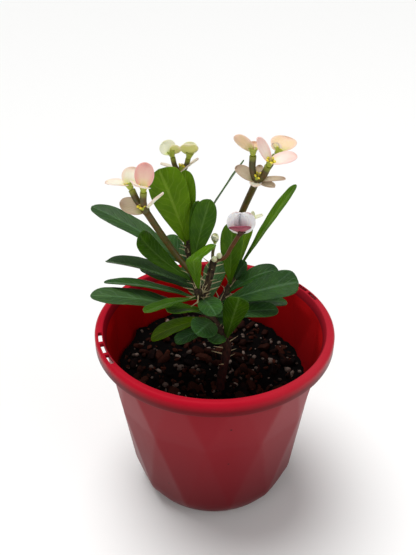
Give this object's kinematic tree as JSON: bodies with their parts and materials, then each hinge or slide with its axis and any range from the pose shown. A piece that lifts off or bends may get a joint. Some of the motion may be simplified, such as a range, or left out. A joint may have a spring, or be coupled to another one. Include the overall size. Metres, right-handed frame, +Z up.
{
  "type": "potted crown of thorns",
  "caption": "Thorny flowering succulent with paddle leaves, forked flower stalks and paired cream bracts, in bark potting mix in a red faceted plastic pot.",
  "frame": {"origin": "centre of the pot's underside, on the surface it stands on", "axes": "+Z up through the pot; -Y is the front, where the trunk leans forward; +X to the right seen from the front"},
  "size_m": [0.142, 0.1398, 0.2304],
  "materials": {
    "pot_plastic": "moulded polypropylene, satin, slightly dusty",
    "potting_mix": "damp composted bark with a little gravel",
    "woody_stem": "rough grey-brown bark with pale thorns",
    "leaf": "waxy satin leaf",
    "flower_stalk": "smooth olive-brown skin",
    "bract": "thin translucent cream petal with pink edges"
  },
  "bodies": {
    "root": {"pot": "pot_plastic", "potting_mix": "potting_mix", "shoots": "woody_stem", "back_leaf_1": "leaf", "back_leaf_2": "leaf", "back_leaf_3": "leaf", "back_leaf_4": "leaf", "back_leaf_5": "leaf", "back_leaf_6": "leaf", "back_leaf_7": "leaf", "front_bloom": "bract", "front_flower_stalk": "flower_stalk", "front_leaf_1": "leaf", "front_leaf_2": "leaf", "front_leaf_3": "leaf", "leader_leaf_1": "leaf", "leader_leaf_10": "leaf", "leader_leaf_11": "leaf", "leader_leaf_2": "leaf", "leader_leaf_3": "leaf", "leader_leaf_4": "leaf", "leader_leaf_5": "leaf", "leader_leaf_6": "leaf", "leader_leaf_7": "leaf", "leader_leaf_8": "leaf", "leader_leaf_9": "leaf", "left_bloom_1": "bract", "left_bloom_2": "bract", "left_bloom_3": "bract", "left_flower_stalk": "flower_stalk", "right_bloom_1": "bract", "right_bloom_2": "bract", "right_bloom_3": "bract", "right_bloom_4": "bract", "right_bloom_5": "bract", "right_flower_stalk": "flower_stalk", "top_bloom_1": "bract", "top_bloom_2": "bract", "top_bloom_3": "bract", "top_flower_stalk": "flower_stalk", "trunk_leaf_1": "leaf", "trunk_leaf_10": "leaf", "trunk_leaf_11": "leaf", "trunk_leaf_2": "leaf", "trunk_leaf_3": "leaf", "trunk_leaf_4": "leaf", "trunk_leaf_5": "leaf", "trunk_leaf_6": "leaf", "trunk_leaf_7": "leaf", "trunk_leaf_8": "leaf", "trunk_leaf_9": "leaf", "young_bloom": "bract", "young_flower_stalk": "flower_stalk"}
  },
  "joints": []
}
